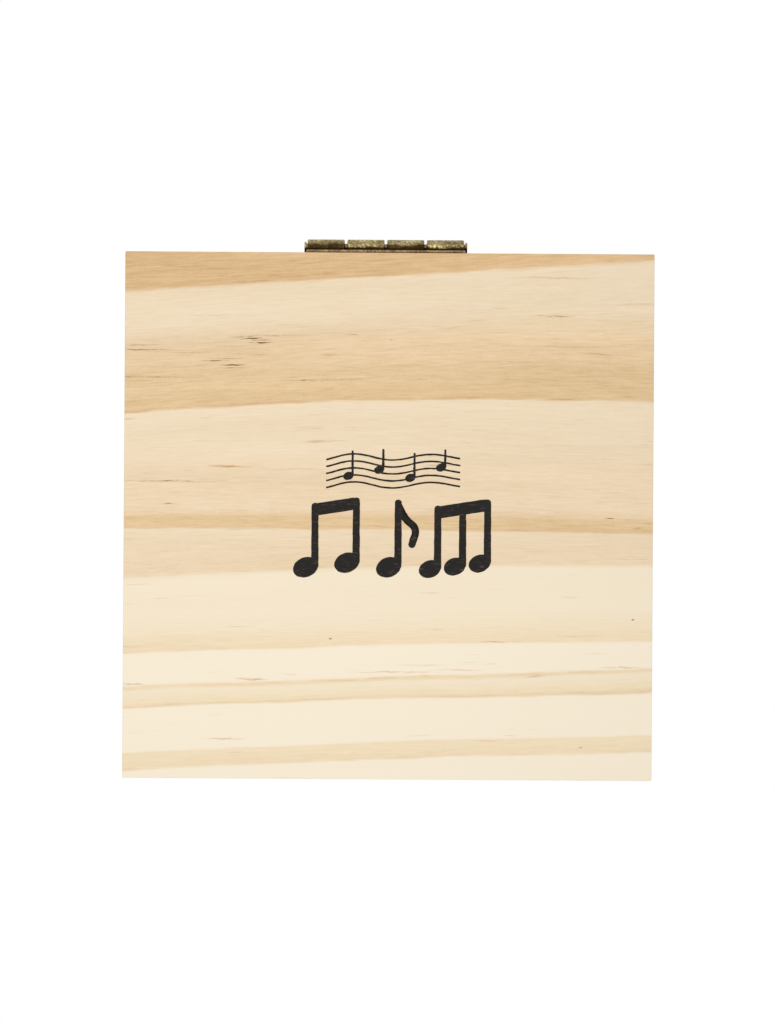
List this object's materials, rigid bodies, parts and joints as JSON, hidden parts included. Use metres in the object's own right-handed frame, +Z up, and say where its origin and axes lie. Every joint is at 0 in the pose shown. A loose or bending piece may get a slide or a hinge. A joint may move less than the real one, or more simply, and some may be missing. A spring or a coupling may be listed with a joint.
{
  "type": "wind up music box",
  "caption": "Square hinged wooden box with a keepsake tray, and a wound comb and cylinder movement under a clear cover.",
  "frame": {"origin": "under the middle of the closed box, on the surface it stands on", "axes": "+Z up, +Y towards the hinge at the back, +X to the right"},
  "size_m": [0.1, 0.1028, 0.057],
  "materials": {
    "pine_lid": "planed solid pine, clear and unvarnished",
    "pine_case": "planed pine with finger joints",
    "plywood": "sanded plywood",
    "felt": "dark red felt",
    "pad": "black rubber pads",
    "clear_cover": "clear acrylic",
    "aged_brass": "antique brass, tarnished",
    "cast_zinc": "die-cast zinc, satin",
    "polished_brass": "turned brass",
    "comb_steel": "hardened and ground steel",
    "bright_steel": "turned steel",
    "screw_steel": "plated slotted screws",
    "spring_steel": "blued spring strip",
    "key_steel": "nickel-plated steel"
  },
  "bodies": {
    "case": {"front_wall": "pine_case", "back_wall": "pine_case", "left_wall": "pine_case", "right_wall": "pine_case", "floor_panel": "plywood", "feet": "pad", "divider": "pine_case", "tray_felt": "felt", "cover_ledges": "pine_case", "cover_pane": "clear_cover", "hinge_leaf_case": "aged_brass", "hinge_pin": "aged_brass", "hinge_screws_case": "aged_brass", "bedplate": "cast_zinc", "bedplate_screws": "screw_steel", "barrel_bridge": "cast_zinc", "bridge_screws": "screw_steel", "click_screws": "screw_steel", "click_spring": "polished_brass", "left_bearing": "cast_zinc", "right_bearing": "cast_zinc", "bearing_screws": "screw_steel", "comb_base": "cast_zinc", "comb": "comb_steel", "comb_screws": "screw_steel", "governor_frame": "cast_zinc", "governor_screws": "screw_steel", "endstone_cap": "bright_steel", "stop_spring": "bright_steel"},
    "lid": {"lid": "pine_lid", "hinge_leaf_lid": "aged_brass", "hinge_screws_lid": "aged_brass"},
    "winding": {"winding_key": "key_steel", "winding_arbor": "bright_steel", "ratchet_wheel": "bright_steel"},
    "barrel": {"spring_barrel": "polished_brass", "barrel_cap": "polished_brass", "mainspring": "spring_steel"},
    "cylinder": {"cylinder": "polished_brass", "cylinder_arbor": "bright_steel", "cylinder_pinion": "bright_steel", "cylinder_wheel": "polished_brass"},
    "governor_wheel": {"governor_arbor": "bright_steel", "worm_wheel": "polished_brass"},
    "fly": {"worm": "bright_steel", "fly": "polished_brass"},
    "click": {"click": "bright_steel"},
    "stop_rod": {"stop_rod": "bright_steel"}
  },
  "joints": [
    {"name": "lid_hinge", "type": "hinge", "parent": "case", "child": "lid", "pos_m": [-0.0008, 0.04988, 0.048], "axis": [-1, 0, 0], "range_deg": [0, 180]},
    {"name": "key_turn", "type": "hinge", "parent": "case", "child": "winding", "pos_m": [-0.016, 0.01973, 0.0195], "axis": [0, 0, 1], "continuous": true},
    {"name": "barrel_turn", "type": "hinge", "parent": "case", "child": "barrel", "pos_m": [-0.016, 0.01973, 0.0215], "axis": [0, 0, 1], "continuous": true},
    {"name": "cylinder_turn", "type": "hinge", "parent": "case", "child": "cylinder", "pos_m": [0.004, 0.01973, 0.035], "axis": [1, 0, 0], "continuous": true},
    {"name": "governor_turn", "type": "hinge", "parent": "case", "child": "governor_wheel", "pos_m": [0.0233, 0.02814, 0.035], "axis": [1, 0, 0], "continuous": true},
    {"name": "fly_turn", "type": "hinge", "parent": "case", "child": "fly", "pos_m": [0.0233, 0.03284, 0.035], "axis": [0, 0, 1], "continuous": true},
    {"name": "click_rock", "type": "hinge", "parent": "case", "child": "click", "pos_m": [-0.0223, 0.01499, 0.03515], "axis": [0, 0, 1], "range_deg": [-12, 0], "stiffness_Nm_per_rad": 0.0002, "deforming": ["click_spring"]},
    {"name": "stop_slide", "type": "slide", "parent": "case", "child": "stop_rod", "axis": [0, 0, 1], "range_m": [0, 0.0025], "deforming": ["stop_spring"]}
  ],
  "couplings": [
    {"joint": "cylinder_turn", "follows": "barrel_turn", "ratio": 4.2},
    {"joint": "governor_turn", "follows": "barrel_turn", "ratio": -25.2},
    {"joint": "fly_turn", "follows": "barrel_turn", "ratio": 302.4},
    {"joint": "stop_slide", "follows": "lid_hinge", "m_per_rad": 0.00076394}
  ]
}
